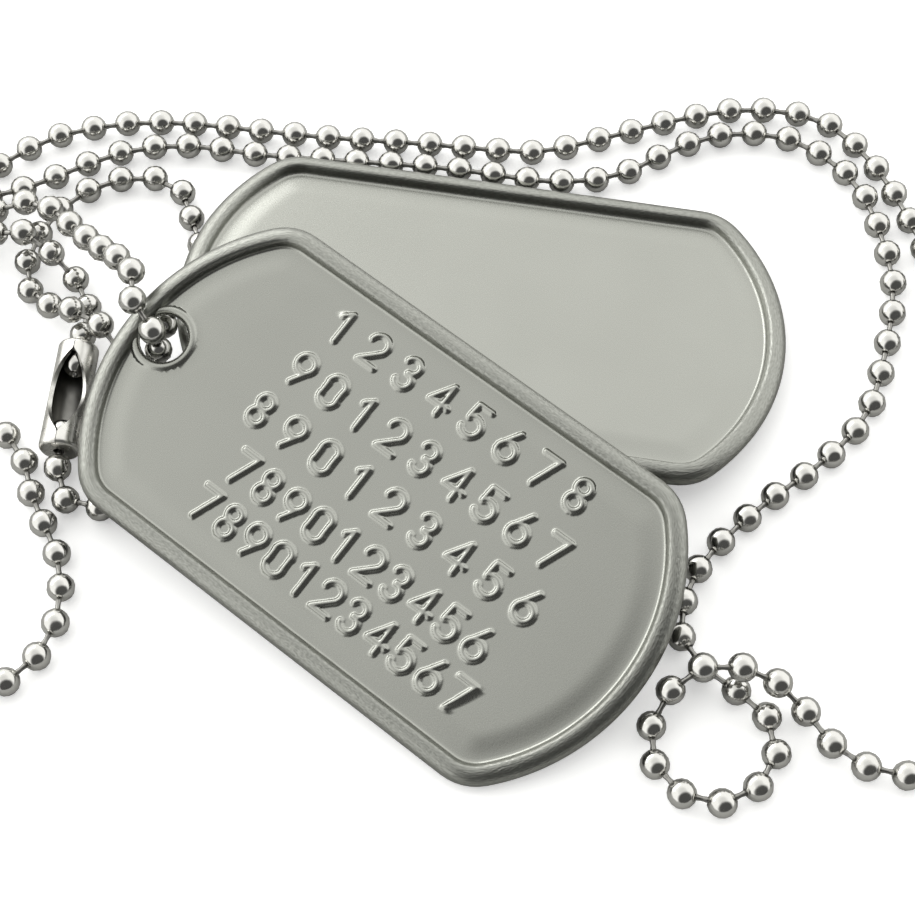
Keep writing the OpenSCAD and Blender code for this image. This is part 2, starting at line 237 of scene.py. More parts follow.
# %% [markdown]
# Finishes. Every piece is stainless steel, and what tells them apart is how each was made. One
# small function turns the hex colours that people read into the linear values that a renderer
# works in, and one adds a shader node with its settings and links. The short ones below it are the
# steps that repeat. A noise seldom leaves the range from 0.3 to 0.7, so that is what is spread out.

# %% Shader helpers
NOISE_RANGE = (0.3, 0.7)
UNIT = (0.0, 1.0)


def linear(hex_colour):
    """sRGB hex to linear red, green, blue and alpha."""
    srgb = np.array([int(hex_colour[k:k + 2], 16) for k in (1, 3, 5)]) / 255
    rgb = np.where(srgb <= 0.04045, srgb / 12.92, ((srgb + 0.055) / 1.055) ** 2.4)
    return (*rgb, 1.0)


def add_node(tree, kind, settings=None, inputs=None):
    """Adds one node, sets its properties, and sets each input or links it to another's output."""
    node = tree.nodes.new(kind)
    for name, value in (settings or {}).items():
        setattr(node, name, value)
    for name, value in (inputs or {}).items():
        if isinstance(value, bpy.types.NodeSocket):
            tree.links.new(value, node.inputs[name])
        else:
            node.inputs[name].default_value = value
    return node


def per_mm(size_mm):
    """Noise scale whose features are about size_mm across on coordinates in metres."""
    return 1 / (size_mm * MM)


def noise(tree, place, scale, detail=2.0, rough=0.5):
    """Random waves: detail is how many finer ones are added, each rough times as strong."""
    return add_node(tree, "ShaderNodeTexNoise", inputs={
        "Vector": place, "Scale": scale, "Detail": detail, "Roughness": rough}).outputs["Fac"]


def remap(tree, value, old, new=UNIT, kind="LINEAR"):
    """Carries a value from the range old to the range new, and holds it at their ends."""
    return add_node(tree, "ShaderNodeMapRange", {"interpolation_type": kind}, {
        "Value": value, "From Min": old[0], "From Max": old[1],
        "To Min": new[0], "To Max": new[1]}).outputs["Result"]


def mix(tree, share, a, b, kind="RGBA"):
    """Goes from a to b as share goes from 0 to 1."""
    return add_node(tree, "ShaderNodeMix", {"data_type": kind}, {
        "Factor": share, "A": a, "B": b}).outputs["Result"]


def arithmetic(tree, operation, *values):
    """One sum or product of values."""
    return add_node(tree, "ShaderNodeMath", {"operation": operation},
                    dict(enumerate(values))).outputs["Value"]


def bump(tree, height, strength, depth_mm, over=None):
    """Tilts the normal as if the height were real, over another bump's normal if one is given."""
    inputs = {"Height": height, "Strength": strength, "Distance": depth_mm * MM}
    if over is not None:
        inputs["Normal"] = over
    return add_node(tree, "ShaderNodeBump", inputs=inputs).outputs["Normal"]


def new_material(name):
    """An empty node material with its Principled shader wired to the output."""
    material = bpy.data.materials.new(name)
    material.use_nodes = True
    tree = material.node_tree
    tree.nodes.clear()
    shader = add_node(tree, "ShaderNodeBsdfPrincipled", inputs={"Metallic": 1.0})
    add_node(tree, "ShaderNodeOutputMaterial", inputs={"Surface": shader.outputs["BSDF"]})
    return material, tree, shader


# %% [markdown]
# The tags are pressed from stainless sheet and then tumbled with ceramic media. That leaves a
# satin, slightly grey face with a fine random grain, and no brushing direction. On the roll the
# sheet was dragged through the curling die, so fine lines run along it. The grain is really about
# 0.05 mm, and is drawn at 0.16 mm so that it shows. A second, slow noise is the faint unevenness
# of a tumbled face.

# %% Tumbled stainless steel, for the tags
GRAIN_MM = 0.16
GRAIN_DEPTH_MM = 0.03
GRAIN_BUMP = 0.12
CLOUD_MM = 9.0
DRAG_LINE_MM = 0.12
DRAG_LEN_MM = 0.36
DRAG_DEPTH_MM = 0.05
DRAG_BUMP = 0.8
DRAG_RANGE = (0.35, 0.65)
DRAG_DARKEST = 0.5
ROLL_BEGINS_MM = (1.0, 1.3)
TAG_ROUGH = (0.24, 0.32)
ROLL_DULLER = 0.05


def tumbled_stainless():
    """Satin steel: grain all over, and fine lines where the second roll_way coordinate, the way
    along the rim's cross-section, says that the roll has begun."""
    material, tree, shader = new_material("tumbled_stainless")
    place = add_node(tree, "ShaderNodeTexCoord").outputs["Object"]
    grain = noise(tree, place, per_mm(GRAIN_MM), detail=3.0, rough=0.6)
    cloud = noise(tree, place, per_mm(CLOUD_MM))
    way = add_node(tree, "ShaderNodeUVMap", {"uv_map": "roll_way"}).outputs["UV"]
    across = add_node(tree, "ShaderNodeSeparateXYZ", inputs={"Vector": way}).outputs["Y"]
    on_roll = remap(tree, across, (ROLL_BEGINS_MM[0] * MM, ROLL_BEGINS_MM[1] * MM))
    lines_at = add_node(tree, "ShaderNodeMapping", inputs={
        "Vector": way, "Scale": (per_mm(DRAG_LEN_MM), per_mm(DRAG_LINE_MM), 0.0)})
    lines = noise(tree, lines_at.outputs["Vector"], 1.0, detail=3.0)
    drag = arithmetic(tree, "MULTIPLY", lines, on_roll)
    face = mix(tree, remap(tree, cloud, NOISE_RANGE), linear("#9A9B95"), linear("#9D9E98"))
    darker = remap(tree, drag, DRAG_RANGE, (0.0, DRAG_DARKEST))
    tree.links.new(mix(tree, darker, face, linear("#6E6F6A")), shader.inputs["Base Color"])
    rough = remap(tree, grain, NOISE_RANGE, TAG_ROUGH)
    duller = arithmetic(tree, "MULTIPLY_ADD", on_roll, ROLL_DULLER, rough)
    tree.links.new(duller, shader.inputs["Roughness"])
    fine = bump(tree, grain, GRAIN_BUMP, GRAIN_DEPTH_MM)
    tree.links.new(bump(tree, drag, DRAG_BUMP, DRAG_DEPTH_MM, fine), shader.inputs["Normal"])
    return material


tag_steel = tumbled_stainless()
print("material:", tag_steel.name)

# %% [markdown]
# The balls are drawn from stainless strip and burnished bright, so they mirror what is round them,
# with faint dents from the forming dies. The pins between them are drawn wire, a little duller. The
# sleeve is bright strip outside; its inside is a darker grey, painted shade for its dim hollow.

# %% Burnished balls, drawn wire and strip steel
DENT_MM = 0.9
DENT_DEPTH_MM = 0.05


def bright_steel(name, hex_colour, rough, dent):
    """Polished metal: slow noise moves its roughness through a range and dents it a little."""
    material, tree, shader = new_material(name)
    place = add_node(tree, "ShaderNodeTexCoord").outputs["Object"]
    waves = noise(tree, place, per_mm(DENT_MM), detail=3.0)
    shader.inputs["Base Color"].default_value = linear(hex_colour)
    tree.links.new(remap(tree, waves, NOISE_RANGE, rough), shader.inputs["Roughness"])
    tree.links.new(bump(tree, waves, dent, DENT_DEPTH_MM), shader.inputs["Normal"])
    return material


ball_steel = bright_steel("burnished_ball_steel", "#C8C7C3", (0.1, 0.2), 0.3)
wire_steel = bright_steel("drawn_wire_steel", "#8F8E8A", (0.25, 0.4), 0.3)
sleeve_steel = bright_steel("bright_strip_steel", "#DAD9D4", (0.24, 0.34), 0.2)
# The sleeve's inside is painted a darker grey: painted shade for the dim hollow inside the sleeve.
painted_shade_inside_steel = bright_steel("sleeve_inside_painted_shade", "#7F7E7A", (0.3, 0.45), 0.5)
print("materials:", [m.name for m in (ball_steel, wire_steel, sleeve_steel, painted_shade_inside_steel)])

# %% [markdown]
# A tag's outline is two long straight sides, two round ends, and four small corners that run
# smoothly into both. Every point on it has a centre, a radius and a direction, so moving the
# outline inwards by any distance only shortens the radius. That one idea carries the whole rim.

# %% The tag's outline
END_X = TAG_LEN / 2 - END_RAD
CORNER_Y = TAG_WID / 2 - CORNER_RAD
CORNER_X = END_X + math.sqrt((END_RAD - CORNER_RAD) ** 2 - CORNER_Y**2)
JOINT_A = math.atan2(CORNER_Y, CORNER_X - END_X)
PANEL_IN = 3.0
PANEL_RAD = CORNER_RAD - PANEL_IN
JOINT_Y = CORNER_Y + PANEL_RAD * math.sin(JOINT_A)
TINY = 1e-6


def edge_distance(x, y):
    """How far a point lies inside the outer edge: from the nearest of side, end arc and corner.
    TINY keeps rounding from opening a gap at the joint of two arcs."""
    x, y = np.abs(x), np.abs(y)
    side = TAG_WID / 2 - y
    end = END_RAD - np.hypot(x - END_X, y)
    turn = np.arctan2(y - CORNER_Y, x - CORNER_X)
    in_corner = (turn > JOINT_A) & (turn < math.pi / 2)
    corner = CORNER_RAD - np.hypot(x - CORNER_X, y - CORNER_Y)
    past_end = np.arctan2(y, x - END_X) < JOINT_A + TINY
    return np.where(in_corner, corner, np.where(past_end, np.minimum(side, end), side))


def half_length(y):
    """Half the length of the panel at height y: an end arc, then a corner arc near the sides."""
    end = END_X + np.sqrt(np.maximum((END_RAD - PANEL_IN) ** 2 - y**2, 0))
    over = np.maximum(np.abs(y) - CORNER_Y, 0)
    corner = CORNER_X + np.sqrt(np.maximum(PANEL_RAD**2 - over**2, 0))
    return np.where(np.abs(y) < JOINT_Y, end, corner)


print(f"corner arcs centred at {CORNER_X:.2f}, {CORNER_Y:.2f} mm; they meet the ends at "
      f"{math.degrees(JOINT_A):.1f} degrees")

# %% [markdown]
# The numbers are plain strokes on a small square, given in shares of the number's height. A line is
# its two ends, and an arc is its centre, its radius and its first and last angle. The press raises
# each stroke round like a wire, so a point's height depends only on how far it is from the nearest
# stroke. They count up from one row to the next. A row is its middle's share of the tag's width,
# the shares of its length where it begins and ends, and its count of numbers.

# %% Raised numbers
ROWS = [(0.330, -0.224, 0.302, 8), (0.162, -0.232, 0.319, 9), (0.000, -0.244, 0.341, 9),
        (-0.163, -0.208, 0.301, 10), (-0.305, -0.220, 0.323, 11)]
DIGITS = [
    [(0.02, 0.3, 0.02, 0.7), (0.58, 0.3, 0.58, 0.7),
     (0.3, 0.7, 0.3, 0, 180), (0.3, 0.3, 0.3, 180, 360)],
    [(0.35, 0, 0.35, 1), (0.35, 1, 0.1, 0.78)],
    [(0.3, 0.7, 0.3, -35, 170), (0.55, 0.53, 0, 0), (0, 0, 0.6, 0)],
    [(0.28, 0.75, 0.25, -90, 160), (0.28, 0.26, 0.26, -160, 90)],
    [(0.45, 0, 0.45, 1), (0.45, 1, 0, 0.3), (0, 0.3, 0.65, 0.3)],
    [(0.1, 1, 0.55, 1), (0.1, 1, 0.06, 0.54), (0.28, 0.31, 0.31, -155, 135)],
    [(0.3, 0.3, 0.3, 0, 360), (0.04, 0.42, 0.4, 1)],
    [(0, 1, 0.6, 1), (0.6, 1, 0.2, 0)],
    [(0.3, 0.76, 0.24, 0, 360), (0.3, 0.26, 0.26, 0, 360)],
    [(0.3, 0.7, 0.3, 0, 360), (0.56, 0.58, 0.2, 0)],
]
RIDGE_WID = 0.58
RIDGE_POWER = 0.75


def line_distance(x, y, x0, y0, x1, y1):
    """Distance to a line's nearest point, with the foot held between its two ends."""
    way = np.array([x1 - x0, y1 - y0])
    share = np.clip(((x - x0) * way[0] + (y - y0) * way[1]) / (way @ way), 0, 1)
    return np.hypot(x - x0 - share * way[0], y - y0 - share * way[1])


def arc_distance(x, y, cx, cy, radius, first, last):
    """Distance to an arc: to its circle within its angles, and to the nearer end outside them."""
    middle, half = (first + last) / 2, (last - first) / 2
    off = (np.degrees(np.arctan2(y - cy, x - cx)) - middle + 180) % 360 - 180
    angle = np.radians(middle + np.clip(off, -half, half))
    return np.hypot(x - cx - radius * np.cos(angle), y - cy - radius * np.sin(angle))


def numbers_height(x, y):
    """Share of full relief at each point: (1 - (distance / half RIDGE_WID)^2)^RIDGE_POWER."""
    nearest = np.full(x.shape, CHAR_H)
    tall = CHAR_H - STROKE_W
    shown = 0
    for row_y, row_x0, row_x1, count in ROWS:
        step = (row_x1 - row_x0) * TAG_LEN / count
        y0 = row_y * TAG_WID - tall / 2
        near_row = np.abs(y - y0 - tall / 2) < CHAR_H
        for k in range(count):
            shown += 1
            x0 = row_x0 * TAG_LEN + step * k
            near = near_row & (np.abs(x - x0 - tall / 3) < CHAR_H)
            u, v = (x[near] - x0) / tall, (y[near] - y0) / tall
            for stroke in DIGITS[shown % 10]:
                distance = line_distance if len(stroke) == 4 else arc_distance
                nearest[near] = np.minimum(nearest[near], distance(u, v, *stroke) * tall)
    return np.clip(1 - (nearest / (RIDGE_WID / 2)) ** 2, 0, 1) ** RIDGE_POWER


print("numbers on the front tag:", sum(row[3] for row in ROWS))

# %% [markdown]
# A tag is one closed skin over the real sheet: the face, the edge curled under into a roll with an
# open seam, the roll's hollow, and the underside. The face is a fine grid, because it carries the
# relief. The rim is the sheet's cross-section carried round the outline, at half as many points,
# and a row of triangles joins the two. The curling die leaves the roll lopsided, steep on its
# inside and broad on its outside, with a sharp little hollow where it meets the face. The face is
# not quite flat: it drops a little beside the rim, and the hole's edge is raised.

# %% The sheet's cross-section at the rim
CROWN = 0.13
CROWN_WID = 2.2
FOOT_RAD = 0.12
LIP_RISE = 0.05
LIP_FADE = (HOLE_R + 0.5, HOLE_R + 1.2)
UNDER_ROLL = (1.6, 1.85)
CREST_IN = 1.15
SHOULDER = 0.5
SQUARER = 2.4
FACE_IN = (2.85, 2.65, 2.45, 2.25, 2.05, 1.9)
UNDER_IN = (1.9, 2.45, PANEL_IN)


def swell(x, y):
    """Height added to both faces of the sheet: level inside, dropping by CROWN towards the rim and
    back to nothing under it, with a soft rise round the hole."""
    inside = edge_distance(x, y)
    drop = CROWN * (1 - ease(2 * ROLL_R, 2 * ROLL_R + CROWN_WID, inside))
    lip = LIP_RISE * (1 - ease(*LIP_FADE, np.hypot(x - HOLE_X, y)))
    return (lip - drop) * ease(*UNDER_ROLL, inside)


def oval(inset, first, last, count, power=2.0):
    """Points on the roll, or inset inside it, as (distance in from the edge, height). It is made of
    quarter ovals: inwards from the crest SHOULDER wide, outwards CREST_IN wide, all ROLL_R high.
    A power over 2 makes a quarter squarer: |x|^n + |z|^n = 1."""
    t = np.radians(np.linspace(first, last, count))
    wide = np.where(np.cos(t) > 0, SHOULDER, CREST_IN) - inset
    x = np.sign(np.cos(t)) * np.abs(np.cos(t)) ** (2 / power)
    z = np.sign(np.sin(t)) * np.abs(np.sin(t)) ** (2 / power)
    return np.stack([CREST_IN + wide * x, (ROLL_R - inset) * z], axis=1)


def foot_arc(x, z, radius, count):
    """A concave quarter round from level, at the face, to upright, at the roll."""
    angle = np.linspace(1.5 * np.pi, np.pi, count)
    return np.stack([x + radius * np.cos(angle), z + radius * np.sin(angle)], axis=1)


def rim_section():
    """The way from the face over the roll to the underside: a small concave foot, the steep inner
    shoulder, the crest, the broad outside, the curled edge, the hollow, and the underside. The last
    value of each arc is its count of points."""
    top = SHEET_T / 2
    foot_z = top + FOOT_RAD
    touch = math.degrees(math.asin((foot_z / ROLL_R) ** (SQUARER / 2)))
    foot_x = oval(0, touch, touch, 1, SQUARER)[0, 0] + FOOT_RAD
    edge_z = -top - SEAM_GAP
    hollow_r = ROLL_R - ROLL_WALL
    edge_out = 360 + math.degrees(math.asin(edge_z / ROLL_R))
    edge_in = 360 + math.degrees(math.asin(edge_z / hollow_r))
    hollow_end = -math.degrees(math.asin(top / hollow_r))
    return np.concatenate([
        [[inset, top] for inset in FACE_IN],
        foot_arc(foot_x, foot_z, FOOT_RAD, 4),
        oval(0, touch, 90, 8, SQUARER)[1:],
        oval(0, 90, 180, 11)[1:],
        oval(0, 180, edge_out, 7)[1:],
        oval(ROLL_WALL, edge_in, hollow_end, 6),
        [[inset, -top] for inset in UNDER_IN],
    ])


section = rim_section()
print(f"cross-section: {len(section)} points, from {section[:, 1].min():.2f} "
      f"to {section[:, 1].max():.2f} mm high")

# %% The tag's skin as one grid, a rim and an underside
TEXT_LOW, TEXT_HIGH = -0.6, 0.76
FINE_STEP, PLAIN_STEP, END_STEP = 0.12, 0.25, 0.38
CORNER_ROWS = 12


def stretches(*parts):
    """Evenly stepped values through parts of (start, end, steps), each start only once."""
    rows = [np.linspace(start, end, steps, endpoint=False) for start, end, steps in parts]
    return np.append(np.concatenate(rows), parts[-1][1])


def panel_lines(step):
    """Column shares and row heights of the face's grid, at the given step where the numbers are
    and at END_STEP beyond them. Near the sides the rows follow equal angles on the corner arcs."""
    span = half_length(np.array(0.0))
    columns = stretches(
        (-1, TEXT_LOW, 2 * round((1 + TEXT_LOW) * span / (2 * END_STEP))),
        (TEXT_LOW, TEXT_HIGH, 2 * round((TEXT_HIGH - TEXT_LOW) * span / (2 * step))),
        (TEXT_HIGH, 1, 2 * round((1 - TEXT_HIGH) * span / (2 * END_STEP))))
    angles = np.linspace(JOINT_A, math.pi / 2, CORNER_ROWS + 1)[1:]
    inner = np.linspace(-JOINT_Y, JOINT_Y, 2 * round(JOINT_Y / step) + 1)
    outer = CORNER_Y + PANEL_RAD * np.sin(angles)
    return columns, np.concatenate([-outer[::-1], inner, outer])


def border(numbers):
    """The numbers round a grid's edge, anticlockwise from its first corner."""
    return np.concatenate([numbers[0, :-1], numbers[:-1, -1],
                           numbers[-1, :0:-1], numbers[:0:-1, 0]])


def outline_frame(columns, rows):
    """For each border point of the panel: its arc's centre, its arc's radius at the outer edge and
    its outward direction, so that centre + (radius - inset) * direction is the inset outline."""
    x = np.outer(np.ones(len(rows)), columns) * half_length(rows)[:, None]
    y = np.outer(rows, np.ones(len(columns)))
    number = np.arange(x.size).reshape(x.shape)
    around = border(number)
    bx, by = x.ravel()[around], y.ravel()[around]
    on_side = np.isclose(np.abs(by), TAG_WID / 2 - PANEL_IN)
    on_end = np.abs(by) <= JOINT_Y + TINY
    cx = np.where(on_side, bx, np.sign(bx) * np.where(on_end, END_X, CORNER_X))
    cy = np.where(on_end, 0, np.sign(by) * CORNER_Y)
    radius = np.where(on_end, END_RAD, CORNER_RAD)
    out = np.stack([bx - cx, by - cy], axis=1)
    out /= np.linalg.norm(out, axis=1)[:, None]
    return x, y, number, around, np.stack([cx, cy], axis=1), radius, out


def rim_ways(ring):
    """For each corner of each face of the rim, how far it is round the outline, measured on the
    ring given, and how far along the cross-section."""
    run = run_along(np.concatenate([ring, ring[:1]]))
    run_of, across_of = (g.ravel() for g in np.meshgrid(run, run_along(section)))
    corner = grid_quads(np.arange(len(run_of)).reshape(len(section), len(run)))[:, ::-1]
    return np.stack([run_of[corner], across_of[corner]], axis=-1).reshape(-1, 2)


def tag_skin(step, relief):
    """Points and faces of one tag in its own plane, in millimetres, and each face corner's place
    on the rim, in metres: how far round the outline, and how far along the cross-section. The face
    and the underside are sheet height + swell + relief at each grid point."""
    columns, rows = panel_lines(step)
    x, y, number, around, centre, radius, out = outline_frame(columns, rows)
    raised = numbers_height(x, y) if relief else np.zeros(x.shape)
    lift = swell(x, y)
    face = np.stack([x, y, SHEET_T / 2 + lift + RELIEF_H * raised], axis=-1).reshape(-1, 3)

    centre, radius, out = centre[::2], radius[::2], out[::2]
    flat = centre[None] + (radius[None, :, None] - section[:, None, :1]) * out[None]
    height = section[:, 1][:, None] + swell(flat[..., 0], flat[..., 1])
    rings = np.concatenate([flat, height[..., None]], axis=-1)
    ring_number = x.size + np.arange(height.size).reshape(height.shape)
    a, b, c = around[::2], around[1::2], np.roll(around, -2)[::2]
    d, e = ring_number[0], np.roll(ring_number[0], -1)
    joining = np.concatenate([np.stack(t, axis=1) for t in ((a, d, b), (d, e, b), (b, e, c))])

    back = np.stack([x, y, -SHEET_T / 2 + lift + GROOVE_H * raised], axis=-1)[::2, ::2]
    inner = back[1:-1, 1:-1]
    under_number = np.zeros(back.shape[:2], int)
    inner_number = x.size + height.size + np.arange(inner[..., 0].size)
    under_number[1:-1, 1:-1] = inner_number.reshape(inner.shape[:2])
    edge = border(np.arange(under_number.size).reshape(under_number.shape))
    under_number.ravel()[edge] = ring_number[-1]

    points = np.concatenate([face, rings.reshape(-1, 3), inner.reshape(-1, 3)])
    top, rim = grid_quads(number), grid_quads(ring_number, wrap=True)[:, ::-1]
    quads = np.concatenate([top, rim, grid_quads(under_number)[:, ::-1]])
    way = np.zeros((4 * len(quads) + 3 * len(joining), 2))
    way[4 * len(top):4 * (len(top) + len(rim))] = rim_ways(rings[0])
    return points, quads, joining, way * MM


# %% [markdown]
# The hole is punched through the finished skin, and a ring with a soft round section lines it. The
# ring covers the punched edge, as the burnished lip does on the real tag.

# %% Punch the hole and line it
LIP_MID_R = 2.42
LIP_HALF_W = 0.42
LIP_HALF_H = 0.4
LIP_Z = 0.05
LIP_AROUND, LIP_SIDES = 72, 14
PUNCH_R = HOLE_R + 0.1
PUNCH_HALF = 0.6
PUNCH_SIDES = 64
TAG_CREASE = 72
SAME_PLACE = 1e-6


def lip_ring():
    """A closed ring round the hole with an elliptical section."""
    turn = np.linspace(0, 2 * np.pi, LIP_AROUND, endpoint=False)[:, None]
    side = np.linspace(0, 2 * np.pi, LIP_SIDES, endpoint=False)[None]
    r = LIP_MID_R + LIP_HALF_W * np.cos(side)
    z = np.broadcast_to(LIP_Z + LIP_HALF_H * np.sin(side), (LIP_AROUND, LIP_SIDES))
    points = np.stack([r * np.cos(turn), r * np.sin(turn), z], axis=-1).reshape(-1, 3)
    number = np.arange(len(points)).reshape(LIP_AROUND, LIP_SIDES)
    number = np.concatenate([number, number[:1]])
    return points + [HOLE_X, 0, 0], grid_quads(number, wrap=True)


def punch():
    """A plain round punch, a hair wider than the lip's inside, right through the sheet."""
    turn = np.linspace(0, 2 * np.pi, PUNCH_SIDES, endpoint=False)
    ring = np.stack([HOLE_X + PUNCH_R * np.cos(turn), PUNCH_R * np.sin(turn)], axis=1)
    levels = (-PUNCH_HALF, PUNCH_HALF)
    points = np.concatenate(
        [np.column_stack([ring, np.full(PUNCH_SIDES, z)]) for z in levels]
        + [[[HOLE_X, 0, z] for z in levels]])
    low, high = np.arange(2 * PUNCH_SIDES).reshape(2, -1)
    poles = np.full((2, PUNCH_SIDES), 2 * PUNCH_SIDES) + [[0], [1]]
    fans = [np.stack([np.roll(low, -1), low, poles[0]], axis=1),
            np.stack([high, np.roll(high, -1), poles[1]], axis=1)]
    return points, grid_quads(np.stack([low, high]), wrap=True), np.concatenate(fans)


def apply_boolean(piece, tool, operation):
    """Cuts tool from piece, or joins it on, for good."""
    change = piece.modifiers.new("change", "BOOLEAN")
    change.object = tool
    change.operation = operation
    change.solver = "EXACT"
    evaluated = piece.evaluated_get(bpy.context.evaluated_depsgraph_get())
    changed = bpy.data.meshes.new_from_object(evaluated)
    piece.modifiers.clear()
    old = piece.data
    piece.data = changed
    bpy.data.meshes.remove(old)


def sharpen(mesh, degrees):
    """Welds points that a cut left on top of each other, and marks the edges where two faces meet
    at more than this angle, so that they shade crisply."""
    work = bmesh.new()
    work.from_mesh(mesh)
    bmesh.ops.remove_doubles(work, verts=work.verts, dist=SAME_PLACE)
    limit = math.radians(degrees)
    for edge in work.edges:
        edge.smooth = edge.calc_face_angle(0) < limit
    work.to_mesh(mesh)
    work.free()


def make_tag(name, step, relief):
    """One tag in its own plane: its skin, punched, with the lip ring joined on."""
    points, quads, triangles, way = tag_skin(step, relief)
    tag = make_piece(name, points, quads, triangles, [tag_steel])
    tag.data.uv_layers.new(name="roll_way").data.foreach_set("uv", way.astype(np.float32).ravel())
    cutter = make_piece("punch", *punch(), [tag_steel])
    apply_boolean(tag, cutter, "DIFFERENCE")
    ring_points, ring_quads = lip_ring()
    lip = make_piece("lip", ring_points, ring_quads, NO_TRIANGLES, [tag_steel])
    apply_boolean(tag, lip, "UNION")
    bpy.data.objects.remove(cutter)
    bpy.data.objects.remove(lip)
    sharpen(tag.data, TAG_CREASE)
    print(f"{name}: {sum(len(p.vertices) - 2 for p in tag.data.polygons)} triangles")
    return tag


front = make_tag("front_tag_skin", FINE_STEP, True)
second = make_tag("second_tag_skin", PLAIN_STEP, False)

# %% [markdown]
# Both tags lie on the surface with their lowest rim just touching it. Their turns were read from
# the photograph: the front one leans on the chain and on the second tag. The turn and the move go
# into the mesh, so each object stays at the origin.

# %% Lay the tags down
FRONT_AT, FRONT_TURN = (-6.5, -6.0), (14.0, 4.5, -40.7)
SECOND_AT, SECOND_TURN = (2.6, 12.2), (-4.0, 2.5, -11.4)


def lay_down(tag, at, turn):
    """Turns a tag about X, then Y, then Z, lifts it until its lowest rim touches the surface, and
    moves it to its place. The lowest point of a tilted rim is on one of its corner arcs. The height
    is worked out for the CAD's round roll, whose lowest point the lopsided one nearly shares."""
    tilt, lift, spin = (math.radians(a) for a in turn)
    dip = abs(math.sin(lift))
    side = abs(math.cos(lift) * math.sin(tilt))
    rest = CORNER_X * dip + CORNER_Y * side + (CORNER_RAD - ROLL_R) * math.hypot(dip, side) + ROLL_R
    turned = Matrix.Rotation(lift, 4, "Y") @ Matrix.Rotation(tilt, 4, "X")
    turned = Matrix.Rotation(spin, 4, "Z") @ turned
    move = Matrix.Translation(Vector((at[0], at[1], rest)) - Vector(MIDDLE))
    tag.data.transform(Matrix.Scale(MM, 4) @ move @ turned)
    tag.data.update()
    return rest


print("centres above the surface:", round(lay_down(front, FRONT_AT, FRONT_TURN), 3),
      round(lay_down(second, SECOND_AT, SECOND_TURN), 3), "mm")

# %% [markdown]
# The chain repeats one ball and one pin about two hundred times, so each has only about a hundred
# faces. A ball is a profile turned about the direction to the ball before it, with a real mouth
# there. A headed pin leaves the ball and enters the next one's mouth. All copies are made at once,
# by multiplying the same points by each ball's own axes.

# %% One ball and one pin
BALL_AROUND, PIN_AROUND = 12, 8
MOUTH_A = math.degrees(math.asin(MOUTH_R / BALL_R))
MOUTH_DEPTH = 0.35
MOUTH_TAPER = 0.95
BALL_RINGS = (MOUTH_A, MOUTH_A + 5, 45, 67, 90, 113, 136, 159)
HEAD_FROM, HEAD_TO, NECK_FROM, TAIL = 0.7, 1.2, 1.4, 0.65
NECK = 0.86
UPRIGHT = 0.9


def turned(profile, around):
    """Points and faces of a profile of (radius, height) turned about Z. Its first and last points
    lie on the axis and close it."""
    turn = np.linspace(0, 2 * np.pi, around, endpoint=False)
    r, z = profile[1:-1].T
    wall = np.stack([np.outer(r, np.cos(turn)), np.outer(r, np.sin(turn)),
                     np.repeat(z[:, None], around, axis=1)], axis=-1).reshape(-1, 3)
    points = np.concatenate([wall, [[0, 0, profile[0, 1]], [0, 0, profile[-1, 1]]]])
    number = np.arange(len(wall)).reshape(len(r), around)
    first, last = number[0], number[-1]
    top, bottom = np.full(around, len(wall)), np.full(around, len(wall) + 1)
    fans = [np.stack([first, np.roll(first, -1), top], axis=1),
            np.stack([np.roll(last, -1), last, bottom], axis=1)]
    return points, grid_quads(number, wrap=True)[:, ::-1], np.concatenate(fans)


def ball_profile():
    """Mouth floor, mouth wall, then the sphere from the mouth's edge to the far pole."""
    angle = np.radians(BALL_RINGS)
    floor_z = BALL_R * math.cos(angle[0]) - MOUTH_DEPTH
    sphere = np.stack([BALL_R * np.sin(angle), BALL_R * np.cos(angle)], axis=1)
    mouth = [[0, floor_z], [MOUTH_R * MOUTH_TAPER, floor_z]]
    return np.concatenate([mouth, sphere, [[0, -BALL_R]]])


def pin_profile(length):
    """From inside one ball to inside the next, which is length away, thinner half way."""
    first = [HEAD_FROM, HEAD_FROM, HEAD_TO, NECK_FROM]
    last = [length - NECK_FROM, length - HEAD_TO, length - TAIL, length - TAIL]
    radius = PIN_R * np.array([0, 1, 1, NECK, NECK, 1, 1, 0])
    return np.stack([radius, np.array(first + last)], axis=1)[::-1]


def axes_towards(ways):
    """A set of axes for each direction, with its third along the direction. The first is level,
    or for a direction steeper than UPRIGHT it is square to X."""
    z = ways / np.linalg.norm(ways, axis=1)[:, None]
    helper = np.where(np.abs(z[:, 2:]) < UPRIGHT, [[0.0, 0, 1]], [[1.0, 0, 0]])
    x = np.cross(helper, z)
    x /= np.linalg.norm(x, axis=1)[:, None]
    return np.stack([x, np.cross(z, x), z], axis=2)


ball_points, ball_quads, ball_fans = turned(ball_profile(), BALL_AROUND)
pin_points, pin_quads, pin_fans = turned(pin_profile(BALL_PITCH), PIN_AROUND)
print("faces on a ball:", len(ball_quads) + len(ball_fans))

# %% String the chain
def copies(points, quads, triangles, axes, places):
    """Copies one shape to every place with that place's axes, and renumbers its faces."""
    moved = np.einsum("nij,kj->nki", axes, points) + places[:, None]
    shift = (np.arange(len(places)) * len(points))[:, None, None]
    quads, triangles = quads[None] + shift, triangles[None] + shift
    return moved.reshape(-1, 3), quads.reshape(-1, 4), triangles.reshape(-1, 3)


